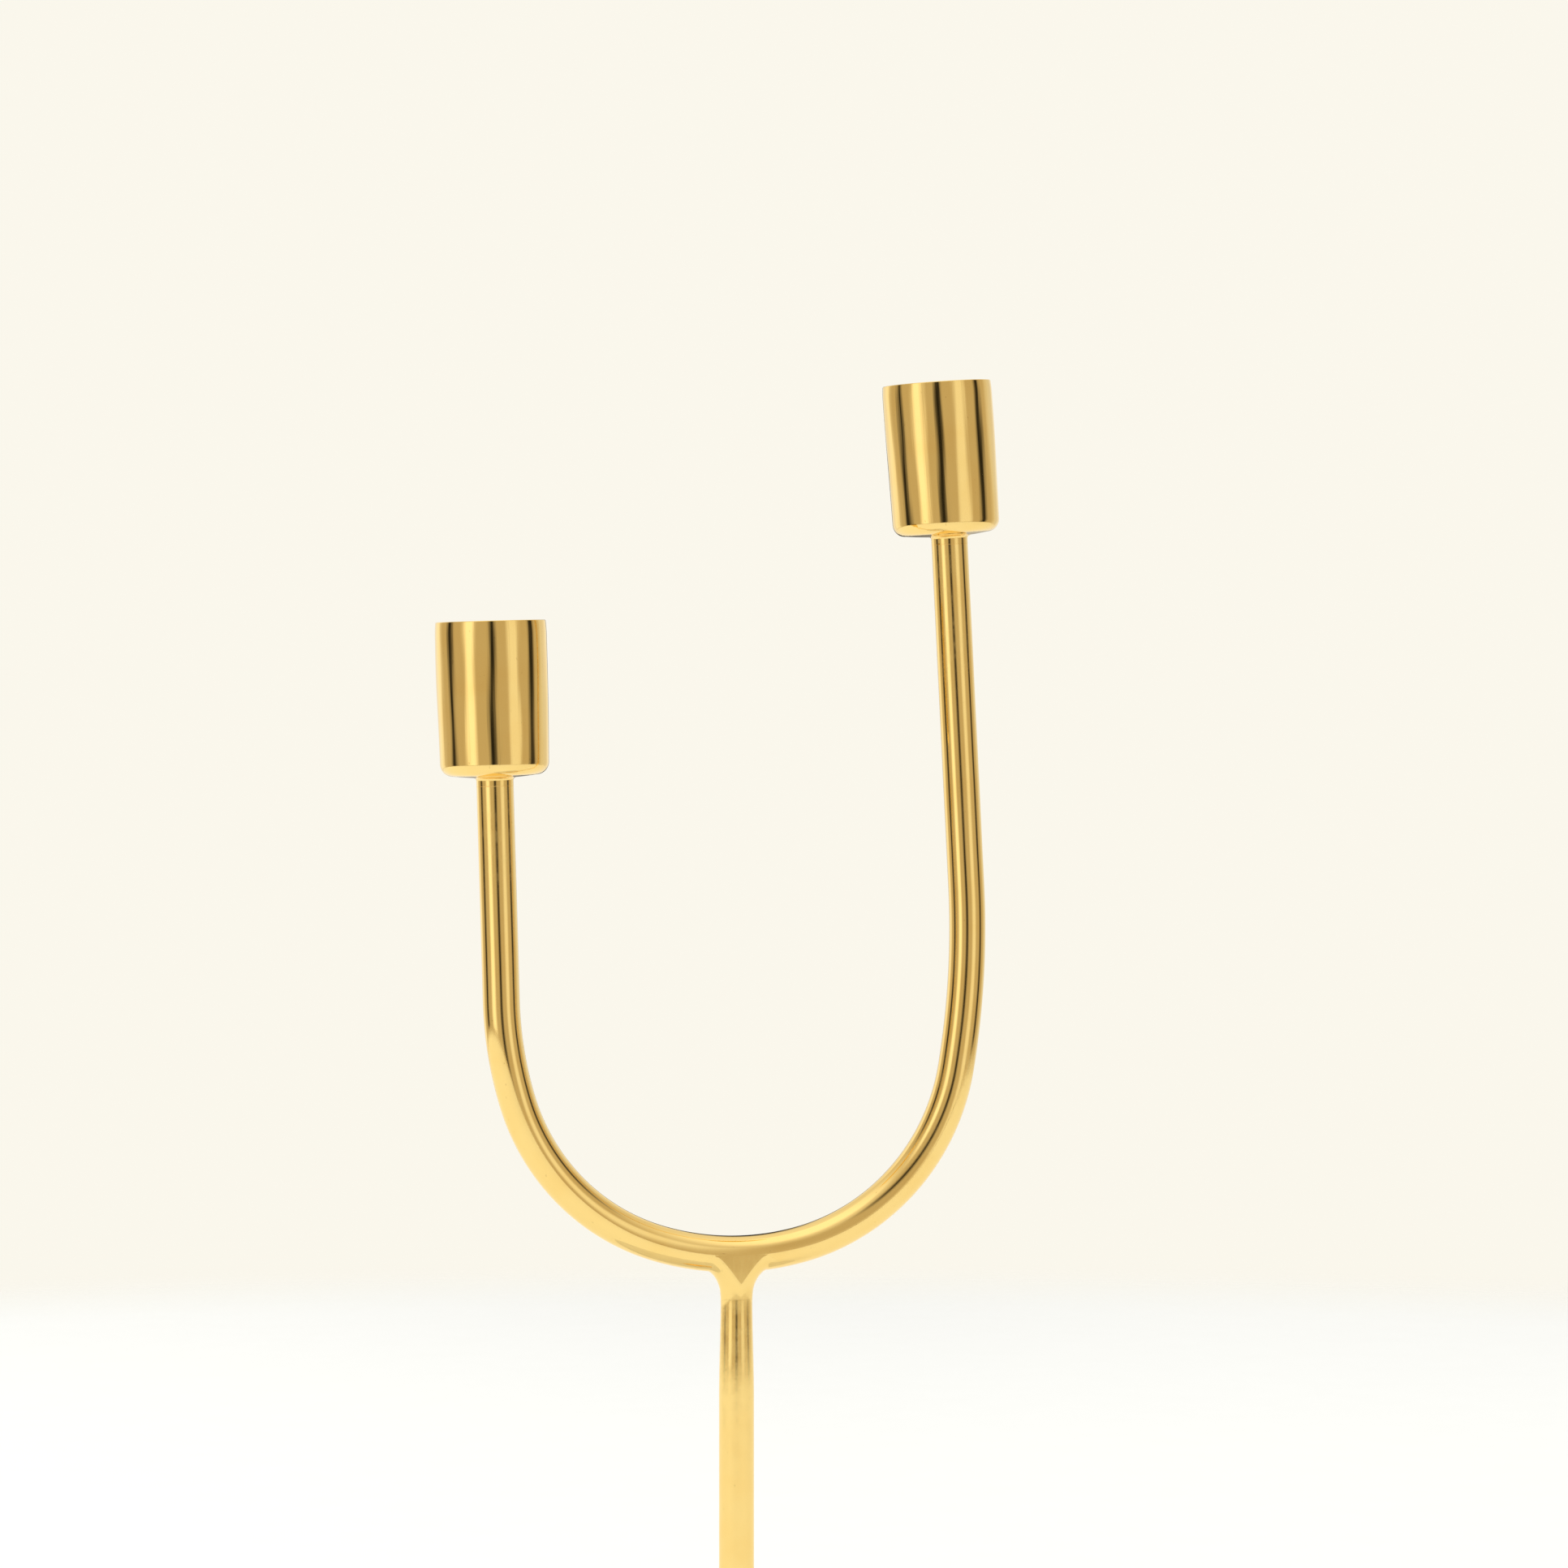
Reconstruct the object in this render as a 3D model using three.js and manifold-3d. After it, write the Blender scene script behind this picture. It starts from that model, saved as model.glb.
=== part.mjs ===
// Two-light candelabra: a slim brass stem on a round white marble base, and one brass
// rod bent into a U on top of it, with a candle cup screwed to each end of the rod.
//
// Frame: millimetres, +Z up. The origin is the centre of the felt's underside, on the
// table and on the stem's axis. The U lies in the XZ plane, low cup at -X, high cup at +X.
// The rod and the cups lean a little, because the real thing is bent and soldered by hand.

import * as THREE from "three";
import { mergeVertices } from "three/addons/utils/BufferGeometryUtils.js";
import Module from "manifold-3d";

const wasm = await Module();
wasm.setup();

// ---------------------------------------------------------------- driving dimensions
const GAP = 0.3; // clearance between any two neighbouring pieces

const BASE_RADIUS = 52;
const BASE_HEIGHT = 20.5;
const BASE_EDGE_ROUND = 2;
const BASE_EDGE_CHAMFER = 0.8;
const FELT_RADIUS = 50;
const FELT_THICKNESS = 1.5;
const NUT_RECESS_RADIUS = 9.6;
const NUT_RECESS_DEPTH = 8.5;

const FERRULE = { radius: 8.5, height: 2.6, topRadius: 5.2, edge: 0.8 };
const STUD_RADIUS = 3; // M6 end of the stem, down through ferrule and base

const STEM_RADIUS = 4.05;
const NECK_RADIUS = 3.64; // the stem is ground down where it meets the saddle
const NECK_LENGTH = 6; // straight part of the neck, below the saddle
const NECK_TAPER = 19; // over this length the stem thins from full to neck radius
const TENON_RADIUS = 2.4;

const ARM_RADIUS = 4.2;
const ARM_BOTTOM = new THREE.Vector2(0.44, 105.2); // lowest point of the rod's centreline
const BOTTOM_BEND = { radius: 63.5, left: 17.7, right: 13.3 }; // mm and degrees
const SIDE_BEND = { radius: 50, left: 55.3, right: 67 };
const LEFT_EASE = { radius: 87, turn: 15.35 }; // the bend opens out into the straight
const RIGHT_EASE = { radius: 192, turn: 12.65 };
const LEFT_SEAT_HEIGHT = 214.8; // where the rod meets the underside of the low cup
const RIGHT_SEAT_HEIGHT = 270.5; // and of the high cup

const SADDLE_DROP = 9.8; // from the rod's centreline down to the stem's shoulder
const SADDLE_FLARE = 0.42; // the saddle widens by this much before its fillet starts
const SADDLE_FILLET = 2.9; // radius of the hollow curve from stem to rod
const SADDLE_HALF_WIDTH = 4.35; // front to back
const SADDLE_TOP_DROP = 2.6; // the saddle reaches this close to the rod's centreline
const TENON_TOP_DROP = 0.7;

const CUP_HEIGHT = 35.6;
const CUP_RADIUS = 12.7; // outside, at the rim
const CUP_FOOT_RADIUS = 12.45; // outside, above the rounded bottom corner
const CUP_CORNER = 2.3;
const CUP_DOME_RISE = 0.65; // how much the underside curves up to its corner
const CUP_BORE_RADIUS = 11.3; // takes a 22 mm candle
const CUP_FLOOR = 5.5; // thickness of the floor
const CUP_BORE_CORNER = 1;
const RIM_ROUND = 0.45;
const COUNTERBORE_RADIUS = 4.2;
const COUNTERBORE_FLOOR = 1.3; // metal left under the screw
const CUPS = [
  { name: "left", lean: 1.65, offset: 0 }, // degrees, and mm off the rod's axis
  { name: "right", lean: 4.05, offset: -0.6 },
];

const SPIGOT_RADIUS = 3; // the rod's turned-down end
const COLLAR_HEIGHT = 0.9;
const COLLAR_FLARE = 0.8; // the solder collar widens by this much under the cup

const CUP_SCREW = { radius: 2, length: 10, headRadius: 3.5, headHeight: 2.6 }; // M4
const CUP_SCREW_SLOT = { width: 1.2, depth: 1.1 };
const CUP_SCREW_HOLE_RADIUS = 2.5;
const CUP_SCREW_HOLE_DEPTH = 9;
const CUP_WASHER = { inner: 2.3, outer: 3.7, thickness: 0.9, slit: 0.6 };

const BASE_WASHER = { outer: 9, thickness: 1.2 };
const BASE_SPRING_WASHER = { outer: 5.6, thickness: 1.5, slit: 0.9 };
const BASE_NUT = { acrossFlats: 10, thickness: 4.4 }; // M6

// How finely round things are cut into facets.
const FACETS = { base: 64, cup: 36, rod: 20, small: 20 };
const ARM_STEPS = 72;

// ---------------------------------------------------------------- derived places
const BASE_BOTTOM = FELT_THICKNESS;
const BASE_TOP = BASE_BOTTOM + BASE_HEIGHT;
const FERRULE_TOP = BASE_TOP + GAP + FERRULE.height;
const STEM_BOTTOM = FERRULE_TOP + GAP;
const STUD_HOLE_RADIUS = STUD_RADIUS + GAP;
const WASHER_BOTTOM = BASE_BOTTOM + NUT_RECESS_DEPTH - GAP - BASE_WASHER.thickness;
const SPRING_WASHER_BOTTOM = WASHER_BOTTOM - GAP - BASE_SPRING_WASHER.thickness;
const NUT_BOTTOM = SPRING_WASHER_BOTTOM - GAP - BASE_NUT.thickness;
const SHOULDER_HEIGHT = ARM_BOTTOM.y - SADDLE_DROP;
const TENON_TOP = ARM_BOTTOM.y - TENON_TOP_DROP;

// ---------------------------------------------------------------- materials
const finish = (color, roughness, metalness) =>
  new THREE.MeshStandardMaterial({ color, roughness, metalness });
const polishedBrass = finish(0xd9a441, 0.12, 1);
const plainBrass = finish(0xc49a45, 0.35, 1);
const solderedBrass = finish(0xd6a650, 0.2, 1);
const zincSteel = finish(0xb9bcc0, 0.4, 1);
const whiteMarble = finish(0xece9e2, 0.25, 0);
const feltCloth = finish(0x3a3530, 0.95, 0);

// ---------------------------------------------------------------- shape helpers
const radians = THREE.MathUtils.degToRad;
const point = (x, y) => new THREE.Vector2(x, y);

/** Points of an arc about (x, y), from one angle to another in degrees. */
function arc(x, y, radius, from, to, steps) {
  return Array.from({ length: steps + 1 }, (_, i) => {
    const angle = radians(from + ((to - from) * i) / steps);
    return point(x + radius * Math.cos(angle), y + radius * Math.sin(angle));
  });
}

/** A profile of (radius, height) points, turned about +Z. */
function turned(profile, facets) {
  return new THREE.LatheGeometry(profile, facets).rotateX(Math.PI / 2);
}

/** A closed profile turned about +Z into a ring. */
function turnedRing(profile, facets) {
  return turned([...profile, profile[0].clone()], facets);
}

/** A cylinder standing on z = bottom. */
function cylinder(radius, bottom, top, facets) {
  const profile = [point(0, bottom), point(radius, bottom), point(radius, top), point(0, top)];
  return turned(profile, facets);
}

/** A flat ring standing on z = bottom. */
function washerRing(inner, outer, bottom, top, facets) {
  const corners = [point(inner, bottom), point(outer, bottom), point(outer, top), point(inner, top)];
  return turnedRing(corners, facets);
}

/** The solid of a closed geometry, for cutting and joining. */
function solidOf(geometry) {
  const bare = new THREE.BufferGeometry();
  bare.setAttribute("position", geometry.getAttribute("position"));
  if (geometry.index) bare.setIndex(geometry.index);
  const merged = mergeVertices(bare, 1e-4);
  const triVerts = new Uint32Array(merged.index.array);
  const vertProperties = merged.attributes.position.array;
  return new wasm.Manifold(new wasm.Mesh({ numProp: 3, vertProperties, triVerts }));
}

/** The geometry of a solid. */
function geometryOf(solid) {
  const mesh = solid.getMesh();
  const positions = new Float32Array(mesh.numVert * 3);
  for (let i = 0; i < mesh.numVert; i++) {
    const start = i * mesh.numProp;
    positions.set(mesh.vertProperties.subarray(start, start + 3), i * 3);
  }
  const geometry = new THREE.BufferGeometry();
  geometry.setAttribute("position", new THREE.BufferAttribute(positions, 3));
  geometry.setIndex(new THREE.BufferAttribute(mesh.triVerts, 1));
  geometry.computeVertexNormals();
  return geometry;
}

/** First geometry less all the others. */
function cut(geometry, ...tools) {
  return geometryOf(tools.reduce((rest, tool) => rest.subtract(solidOf(tool)), solidOf(geometry)));
}

function named(name, geometry, material) {
  const mesh = new THREE.Mesh(geometry, material);
  mesh.name = name;
  return mesh;
}

// ---------------------------------------------------------------- the rod's path
/** A chain of straights and arcs in the XZ plane. A piece is { length, turn }, turn in radians. */
class BentRodPath extends THREE.Curve {
  constructor(start, heading, pieces) {
    super();
    this.start = start;
    this.heading = heading;
    this.pieces = pieces;
    this.total = pieces.reduce((sum, piece) => sum + piece.length, 0);
    this.arcLengthDivisions = 1200;
  }

  /** Place and heading after going a distance along the rod. */
  poseAt(distance) {
    let { x, y } = this.start;
    let heading = this.heading;
    let left = distance;
    for (const { length, turn } of this.pieces) {
      const gone = Math.min(left, length);
      const swept = (turn * gone) / length;
      const chord = turn === 0 ? gone : (2 * length * Math.sin(swept / 2)) / turn;
      x += chord * Math.cos(heading + swept / 2);
      y += chord * Math.sin(heading + swept / 2);
      heading += swept;
      left -= gone;
      if (left <= 0) break;
    }
    return { x, y, heading };
  }

  getPoint(t, target = new THREE.Vector3()) {
    const { x, y } = this.poseAt(t * this.total);
    return target.set(x, 0, y);
  }

  getTangent(t, target = new THREE.Vector3()) {
    const { heading } = this.poseAt(t * this.total);
    return target.set(Math.cos(heading), 0, Math.sin(heading));
  }
}

const bend = (radius, degrees) => ({ length: radius * radians(degrees), turn: radians(degrees) });
const mirrored = ({ length, turn }) => ({ length, turn: -turn });

/** One side of the U, from its lowest point up to a seat: arcs, then a straight to the seat. */
function sideOfRod(arcs, heading, seatHeight) {
  const topOfArcs = new BentRodPath(ARM_BOTTOM, heading, arcs);
  const { y, heading: lean } = topOfArcs.poseAt(topOfArcs.total);
  const straight = { length: (seatHeight - y) / Math.sin(lean), turn: 0 };
  const pieces = [...arcs, straight];
  const whole = new BentRodPath(ARM_BOTTOM, heading, pieces);
  return { pieces, seat: whole.poseAt(whole.total) };
}

const leftArcs = [
  bend(BOTTOM_BEND.radius, BOTTOM_BEND.left),
  bend(SIDE_BEND.radius, SIDE_BEND.left),
  bend(LEFT_EASE.radius, LEFT_EASE.turn),
];
const rightArcs = [
  bend(BOTTOM_BEND.radius, BOTTOM_BEND.right),
  bend(SIDE_BEND.radius, SIDE_BEND.right),
  bend(RIGHT_EASE.radius, RIGHT_EASE.turn),
];
const leftSide = sideOfRod(leftArcs.map(mirrored), Math.PI, LEFT_SEAT_HEIGHT);
const rightSide = sideOfRod(rightArcs, 0, RIGHT_SEAT_HEIGHT);

/** The whole rod, left seat to right seat, stopping short of both seats by the same length. */
function rodPath(shortBy) {
  const { x, y, heading } = leftSide.seat;
  const start = point(x - shortBy * Math.cos(heading), y - shortBy * Math.sin(heading));
  const shorter = (piece) => ({ length: piece.length - shortBy, turn: 0 });
  const upLeft = leftSide.pieces.map(mirrored);
  const upRight = [...rightSide.pieces];
  upLeft.push(shorter(upLeft.pop()));
  upRight.push(shorter(upRight.pop()));
  return new BentRodPath(start, heading - Math.PI, [...upLeft.reverse(), ...upRight]);
}

// ---------------------------------------------------------------- the base
function marbleBase() {
  const shoulder = BASE_RADIUS - BASE_EDGE_ROUND;
  const recessTop = BASE_BOTTOM + NUT_RECESS_DEPTH;
  const profile = [
    point(NUT_RECESS_RADIUS, BASE_BOTTOM),
    point(BASE_RADIUS - BASE_EDGE_CHAMFER, BASE_BOTTOM),
    point(BASE_RADIUS, BASE_BOTTOM + BASE_EDGE_CHAMFER),
    ...arc(shoulder, BASE_TOP - BASE_EDGE_ROUND, BASE_EDGE_ROUND, 0, 90, 5),
    point(STUD_HOLE_RADIUS, BASE_TOP),
    point(STUD_HOLE_RADIUS, recessTop),
    point(NUT_RECESS_RADIUS, recessTop),
  ];
  return turnedRing(profile, FACETS.base);
}

/** The brass ring between the stem's shoulder and the marble. */
function ferrule() {
  const bottom = BASE_TOP + GAP;
  const profile = [
    point(STUD_HOLE_RADIUS, bottom),
    point(FERRULE.radius, bottom),
    point(FERRULE.radius, bottom + FERRULE.edge),
    ...arc(FERRULE.radius, FERRULE_TOP, FERRULE.height - FERRULE.edge, 270, 215, 4).slice(1),
    point(FERRULE.topRadius, FERRULE_TOP),
    point(STUD_HOLE_RADIUS, FERRULE_TOP),
  ];
  return turnedRing(profile, FACETS.cup);
}

/** A ring cut through on its +X side, which is what lets a spring washer spring. */
function springWasher(inner, outer, thickness, slit) {
  const ring = washerRing(inner, outer, 0, thickness, FACETS.small);
  const saw = new THREE.BoxGeometry(outer, slit, 4 * thickness).translate(outer, 0, 0);
  return cut(ring, saw);
}

function hexNut({ acrossFlats, thickness }, holeRadius) {
  const corner = acrossFlats / Math.sqrt(3);
  const prism = new THREE.CylinderGeometry(corner, corner, thickness, 6);
  prism.rotateX(Math.PI / 2).translate(0, 0, thickness / 2);
  const bevel = corner - acrossFlats / 2;
  const roundedCorners = turned([
    point(0, 0),
    point(corner - bevel, 0),
    point(corner, bevel / 2),
    point(corner, thickness - bevel / 2),
    point(corner - bevel, thickness),
    point(0, thickness),
  ], FACETS.small);
  const hole = cylinder(holeRadius, -1, thickness + 1, FACETS.small);
  return geometryOf(solidOf(prism).intersect(solidOf(roundedCorners)).subtract(solidOf(hole)));
}

function placedAt(height, mesh) {
  mesh.position.z = height;
  return mesh;
}

function makeBase() {
  const base = new THREE.Group();
  const felt = cylinder(FELT_RADIUS, 0, FELT_THICKNESS, FACETS.base);
  base.add(named("felt_pad", felt, feltCloth));
  base.add(named("marble_base", marbleBase(), whiteMarble));
  base.add(named("stem_ferrule", ferrule(), polishedBrass));

  const washer = washerRing(STUD_HOLE_RADIUS, BASE_WASHER.outer, 0, BASE_WASHER.thickness, FACETS.small);
  base.add(placedAt(WASHER_BOTTOM, named("base_washer", washer, zincSteel)));

  const { outer, thickness, slit } = BASE_SPRING_WASHER;
  const spring = springWasher(STUD_HOLE_RADIUS, outer, thickness, slit);
  base.add(placedAt(SPRING_WASHER_BOTTOM, named("base_spring_washer", spring, zincSteel)));

  const nut = hexNut(BASE_NUT, STUD_HOLE_RADIUS);
  base.add(placedAt(NUT_BOTTOM, named("base_nut", nut, zincSteel)));
  return base;
}

// ---------------------------------------------------------------- the stem and its saddle
function stem() {
  const neckBottom = SHOULDER_HEIGHT - NECK_LENGTH;
  const middleRadius = 0.6 * STEM_RADIUS + 0.4 * NECK_RADIUS;
  const profile = [
    point(0, NUT_BOTTOM),
    point(STUD_RADIUS - 0.4, NUT_BOTTOM),
    point(STUD_RADIUS, NUT_BOTTOM + 0.4),
    point(STUD_RADIUS, STEM_BOTTOM),
    point(STEM_RADIUS - 0.2, STEM_BOTTOM),
    point(STEM_RADIUS, STEM_BOTTOM + 0.2),
    point(STEM_RADIUS, neckBottom - NECK_TAPER),
    point(middleRadius, neckBottom - NECK_TAPER / 2),
    point(NECK_RADIUS, neckBottom),
    point(NECK_RADIUS, SHOULDER_HEIGHT),
    point(TENON_RADIUS, SHOULDER_HEIGHT),
    point(TENON_RADIUS, TENON_TOP),
    point(0, TENON_TOP),
  ];
  return turned(profile, FACETS.rod);
}

/** The brazed piece that flares from the stem's shoulder into the underside of the rod. */
function saddle() {
  const bottom = SHOULDER_HEIGHT + GAP;
  const armUnderside = ARM_BOTTOM.y - ARM_RADIUS;
  const outerRadius = NECK_RADIUS + SADDLE_FLARE + SADDLE_FILLET;
  const top = ARM_BOTTOM.y - SADDLE_TOP_DROP;
  const flare = [
    point(0, bottom),
    point(NECK_RADIUS, bottom),
    ...arc(outerRadius, armUnderside - SADDLE_FILLET, SADDLE_FILLET, 180, 90, 8),
    point(outerRadius, top),
    point(0, top),
  ];
  const width = 4 * outerRadius;
  const slab = new THREE.BoxGeometry(width, 2 * SADDLE_HALF_WIDTH, 4 * SADDLE_DROP);
  slab.translate(0, 0, ARM_BOTTOM.y);
  const hollow = ARM_RADIUS + GAP;
  const overRod = new THREE.CylinderGeometry(hollow, hollow, width, FACETS.rod);
  overRod.rotateZ(Math.PI / 2).translate(ARM_BOTTOM.x, 0, ARM_BOTTOM.y);
  const bore = cylinder(TENON_RADIUS + GAP, bottom - 1, top + 1, FACETS.small);
  const blank = solidOf(turned(flare, FACETS.rod)).intersect(solidOf(slab));
  return geometryOf(blank.subtract(solidOf(overRod)).subtract(solidOf(bore)));
}

// ---------------------------------------------------------------- the bent rod
/** Moves a geometry made about +Z to a seat, with +Z along the rod. */
function atSeat(geometry, seat) {
  return geometry.rotateY(Math.PI / 2 - seat.heading).translate(seat.x, 0, seat.y);
}

function arm() {
  const corners = Array.from({ length: FACETS.rod }, (_, i) => {
    const angle = (2 * Math.PI * i) / FACETS.rod;
    return point(ARM_RADIUS * Math.cos(angle), ARM_RADIUS * Math.sin(angle));
  });
  const section = new THREE.Shape(corners);
  const shoulder = COLLAR_HEIGHT + 3 * GAP;
  const extrudePath = rodPath(shoulder);
  const options = { steps: ARM_STEPS, bevelEnabled: false, extrudePath };
  let rod = solidOf(new THREE.ExtrudeGeometry(section, options));
  for (const { seat } of [leftSide, rightSide]) {
    const spigot = cylinder(SPIGOT_RADIUS, -2 * shoulder, -GAP, FACETS.small);
    const hole = cylinder(CUP_SCREW_HOLE_RADIUS, -CUP_SCREW_HOLE_DEPTH, 1, FACETS.small);
    rod = rod.add(solidOf(atSeat(spigot, seat))).subtract(solidOf(atSeat(hole, seat)));
  }
  const holeTop = TENON_TOP + GAP;
  const tenonHole = cylinder(TENON_RADIUS + GAP, holeTop - 2 * ARM_RADIUS, holeTop, FACETS.small);
  return geometryOf(rod.subtract(solidOf(tenonHole)));
}

/** Ring of solder round the rod's end: flush with the rod below, flared under the cup. */
function collar() {
  const top = -2 * GAP;
  const bottom = top - COLLAR_HEIGHT;
  const inner = SPIGOT_RADIUS + GAP;
  const flared = ARM_RADIUS + COLLAR_FLARE;
  const profile = [
    point(inner, bottom),
    ...arc(flared, bottom, COLLAR_FLARE, 180, 90, 4),
    point(flared, top),
    point(inner, top),
  ];
  return turnedRing(profile, FACETS.rod);
}

// ---------------------------------------------------------------- the cups
/** A cup about its own axis, its underside at z = 0 and its screw hole at x = holeX. */
function cup(holeX) {
  const cornerRadius = CUP_FOOT_RADIUS - CUP_CORNER;
  const top = CUP_HEIGHT;
  const underside = [0.5, 0.8, 1].map((share) => {
    return point(share * cornerRadius, CUP_DOME_RISE * share ** 2);
  });
  const body = [
    point(0, 0),
    ...underside,
    ...arc(cornerRadius, CUP_DOME_RISE + CUP_CORNER, CUP_CORNER, -75, 0, 5),
    ...arc(CUP_RADIUS - RIM_ROUND, top - RIM_ROUND, RIM_ROUND, 0, 90, 2),
    ...arc(CUP_BORE_RADIUS + RIM_ROUND, top - RIM_ROUND, RIM_ROUND, 90, 180, 2),
    ...arc(CUP_BORE_RADIUS - CUP_BORE_CORNER, CUP_FLOOR + CUP_BORE_CORNER, CUP_BORE_CORNER, 0, -90, 3),
    point(0, CUP_FLOOR),
  ];
  const counterbore = cylinder(COUNTERBORE_RADIUS, COUNTERBORE_FLOOR, CUP_FLOOR + 1, FACETS.small);
  const hole = cylinder(CUP_SCREW_HOLE_RADIUS, -1, COUNTERBORE_FLOOR + 1, FACETS.small);
  return cut(turned(body, FACETS.cup), counterbore.translate(holeX, 0, 0), hole.translate(holeX, 0, 0));
}

/** Slotted cheese-head screw, its bearing face at z = 0 and its shank going down. */
function cupScrew() {
  const { radius, length, headRadius, headHeight } = CUP_SCREW;
  const profile = [
    point(0, -length),
    point(radius - 0.4, -length),
    point(radius, 0.4 - length),
    point(radius, 0),
    point(headRadius, 0),
    point(headRadius, headHeight - 0.4),
    point(headRadius - 0.4, headHeight),
    point(0, headHeight),
  ];
  const { width, depth } = CUP_SCREW_SLOT;
  const slot = new THREE.BoxGeometry(4 * headRadius, width, 2 * depth).translate(0, 0, headHeight);
  return cut(turned(profile, FACETS.small), slot);
}

function makeCup({ name, lean, offset }, seat) {
  const assembly = new THREE.Group();
  assembly.position.set(seat.x, 0, seat.y);
  assembly.rotation.y = -radians(lean);

  const shell = named(`${name}_cup`, cup(-offset), polishedBrass);
  shell.position.x = offset;

  const { inner, outer, thickness, slit } = CUP_WASHER;
  const washer = named(`${name}_cup_spring_washer`, springWasher(inner, outer, thickness, slit), zincSteel);
  washer.position.z = COUNTERBORE_FLOOR + GAP;

  const screw = named(`${name}_cup_screw`, cupScrew(), plainBrass);
  screw.position.z = washer.position.z + thickness + GAP;
  screw.rotation.z = radians(name === "left" ? 25 : 70); // the slots stop where they stop
  assembly.add(shell, washer, screw);
  return assembly;
}

// ---------------------------------------------------------------- the candelabra
const candelabra = new THREE.Group();
candelabra.add(makeBase());
candelabra.add(named("stem", stem(), polishedBrass));
candelabra.add(named("saddle", saddle(), solderedBrass));
candelabra.add(named("arm", arm(), polishedBrass));
[leftSide, rightSide].forEach(({ seat }, i) => {
  candelabra.add(named(`${CUPS[i].name}_collar`, atSeat(collar(), seat), solderedBrass));
  candelabra.add(makeCup(CUPS[i], seat));
});

export default candelabra;
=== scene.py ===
"""Looks of the brass and marble candelabra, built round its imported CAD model.

Blender 4.5. Metres, +Z up, the CAD's own frame: the U lies in the XZ plane, low cup at -X.
Every round piece is turned from a profile in straight coordinates (x, y across, z along its
axis), and the bent rod is the same thing with its axis laid along the bends.
"""
import math

import bpy
import numpy as np
from mathutils import Matrix, Vector, noise


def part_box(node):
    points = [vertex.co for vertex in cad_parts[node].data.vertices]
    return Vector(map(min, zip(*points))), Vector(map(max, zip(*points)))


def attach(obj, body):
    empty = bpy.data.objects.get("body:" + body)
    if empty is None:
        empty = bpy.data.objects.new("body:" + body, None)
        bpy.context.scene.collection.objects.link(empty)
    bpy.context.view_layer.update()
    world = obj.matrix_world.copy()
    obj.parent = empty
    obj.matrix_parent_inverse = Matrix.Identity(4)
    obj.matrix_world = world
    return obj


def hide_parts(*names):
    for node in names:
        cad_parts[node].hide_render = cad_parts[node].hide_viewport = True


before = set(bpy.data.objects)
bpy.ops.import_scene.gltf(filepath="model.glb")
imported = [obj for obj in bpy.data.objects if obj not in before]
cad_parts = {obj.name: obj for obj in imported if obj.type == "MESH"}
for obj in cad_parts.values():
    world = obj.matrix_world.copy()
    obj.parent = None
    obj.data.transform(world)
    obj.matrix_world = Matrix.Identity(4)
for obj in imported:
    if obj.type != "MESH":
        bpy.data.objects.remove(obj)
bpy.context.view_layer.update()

MM = 0.001

# ---------------------------------------------------------------- sizes, from the frame
def low(node):
    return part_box(node)[0]


def high(node):
    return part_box(node)[1]


GAP = 0.3 * MM  # the CAD's clearance between neighbouring pieces
ARM_RADIUS = high("arm").y
ARM_BOTTOM = Vector((0.44 * MM, 0, low("arm").z + ARM_RADIUS))  # lowest point of the centreline
STEM_RADIUS = high("stem").y
NECK_RADIUS = 3.64 * MM
BASE_RADIUS = high("marble_base").y
BASE_TOP = high("marble_base").z
FELT_TOP = high("felt_pad").z
FERRULE_TOP = high("stem_ferrule").z
CUP_HEIGHT = 35.6 * MM
CUP_RADIUS = high("left_cup").y
SEATS = {"left": 214.8 * MM, "right": 270.5 * MM}  # height at which the rod meets each cup

# ---------------------------------------------------------------- the rod's bends
# Each bend is (radius in mm, degrees), from the rod's lowest point outwards, as in the CAD.
BENDS = {
    "left": [(63.5, 17.7), (50, 55.3), (87, 15.35)],
    "right": [(63.5, 13.3), (50, 67), (192, 12.65)],
}


def side_of_rod(side):
    """Arcs as (length, turn), then the straight up to the seat; and the rod's pose at the seat."""
    sign = 1 if side == "right" else -1
    pieces = [(r * MM * math.radians(d), sign * math.radians(d)) for r, d in BENDS[side]]
    start = (ARM_BOTTOM.x, ARM_BOTTOM.z, 0.0 if side == "right" else math.pi)
    _, z, heading = walk(pieces, start, math.inf)
    pieces.append(((SEATS[side] - z) / math.sin(heading), 0.0))
    return pieces, walk(pieces, start, math.inf)


def walk(pieces, start, distance):
    """(x, z, heading) after going a distance along a chain of arcs and straights."""
    x, z, heading = start
    for length, turn in pieces:
        gone = min(distance, length)
        swept = turn * gone / length
        chord = gone if turn == 0 else 2 * length * math.sin(swept / 2) / turn
        x += chord * math.cos(heading + swept / 2)
        z += chord * math.sin(heading + swept / 2)
        heading += swept
        distance -= gone
        if distance <= 0:
            break
    return x, z, heading


LEFT_PIECES, LEFT_SEAT = side_of_rod("left")
RIGHT_PIECES, RIGHT_SEAT = side_of_rod("right")
ROD_PIECES = [(length, -turn) for length, turn in reversed(LEFT_PIECES)] + RIGHT_PIECES
ROD_START = (LEFT_SEAT[0], LEFT_SEAT[1], LEFT_SEAT[2] - math.pi)
ROD_LENGTH = sum(length for length, _ in ROD_PIECES)
LEFT_LENGTH = sum(length for length, _ in LEFT_PIECES)


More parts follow.
